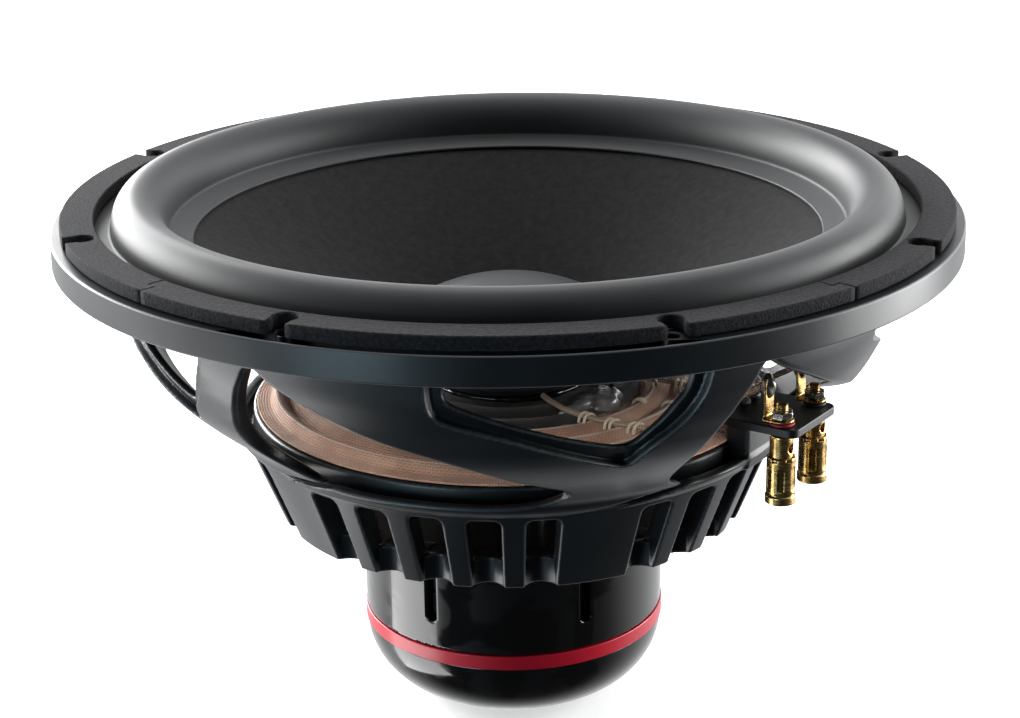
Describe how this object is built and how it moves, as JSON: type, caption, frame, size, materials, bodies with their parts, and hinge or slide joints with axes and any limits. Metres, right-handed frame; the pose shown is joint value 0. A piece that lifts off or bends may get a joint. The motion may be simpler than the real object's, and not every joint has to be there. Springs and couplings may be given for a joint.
{
  "type": "car subwoofer driver",
  "caption": "Round car subwoofer driver: cast basket with V-shaped spokes, rubber surround, paper cone, dust cap, push terminals and a round motor cover with a red band.",
  "frame": {"origin": "on the driver's axis, at the flat underside of the motor, which it can stand on", "axes": "+Z along the driver's axis, out of the cone towards the listener; -Y is the side that the view faces, and the terminals are at azimuth 55.5 degrees from -Y towards +X"},
  "size_m": [0.32, 0.32, 0.1943],
  "materials": {
    "cast_black": "cast aluminium with a satin black coat",
    "foam": "closed-cell foam, fine grain",
    "rubber": "satin butyl rubber",
    "paper": "pressed fibre paper, black",
    "satin_dome": "satin moulded dome",
    "spider_cloth": "woven cloth dipped in brown resin",
    "braid": "tinned copper braid",
    "fibre": "resin-bonded glass fibre",
    "copper": "enamelled copper",
    "steel": "turned steel, zinc plated",
    "ferrite": "sintered ferrite",
    "gloss_black": "polished black",
    "red": "satin red",
    "gold": "gold plate",
    "board": "black laminate",
    "zinc": "zinc plate"
  },
  "bodies": {
    "frame": {"basket": "cast_black", "gasket_segment_1": "foam", "gasket_segment_2": "foam", "gasket_segment_3": "foam", "gasket_segment_4": "foam", "surround": "rubber", "spider": "spider_cloth", "tinsel_lead_1": "braid", "tinsel_lead_2": "braid", "top_plate": "steel", "upper_magnet": "ferrite", "lower_magnet": "ferrite", "t_yoke": "steel", "shorting_ring": "copper", "motor_cover": "gloss_black", "trim_ring": "red", "motor_cap": "gloss_black", "motor_screw_1": "zinc", "motor_screw_2": "zinc", "motor_screw_3": "zinc", "motor_screw_4": "zinc", "terminal_board": "board", "terminal_barrel_1": "gold", "terminal_barrel_2": "gold", "terminal_spring_1": "zinc", "terminal_spring_2": "zinc", "terminal_washer_1": "red", "terminal_washer_2": "board", "solder_tab_1": "gold", "solder_tab_2": "gold", "terminal_nut_1": "zinc", "terminal_nut_2": "zinc", "terminal_screw_1": "zinc", "terminal_screw_2": "zinc"},
    "diaphragm": {"cone": "paper", "dust_cap": "satin_dome", "voice_coil_former": "fibre", "voice_coil_winding": "copper"},
    "push_button_1": {"push_cap_1": "gold"},
    "push_button_2": {"push_cap_2": "gold"}
  },
  "joints": [
    {"name": "cone_excursion", "type": "slide", "parent": "frame", "child": "diaphragm", "axis": [0, 0, 1], "range_m": [-0.012, 0.012], "stiffness_N_per_m": 4000, "deforming": ["surround", "spider", "tinsel_lead_1", "tinsel_lead_2"]},
    {"name": "push_cap_1_travel", "type": "slide", "parent": "frame", "child": "push_button_1", "axis": [0, 0, 1], "range_m": [0, 0.004], "stiffness_N_per_m": 400, "springref_m": -0.002, "deforming": ["terminal_spring_1"]},
    {"name": "push_cap_2_travel", "type": "slide", "parent": "frame", "child": "push_button_2", "axis": [0, 0, 1], "range_m": [0, 0.004], "stiffness_N_per_m": 400, "springref_m": -0.002, "deforming": ["terminal_spring_2"]}
  ]
}
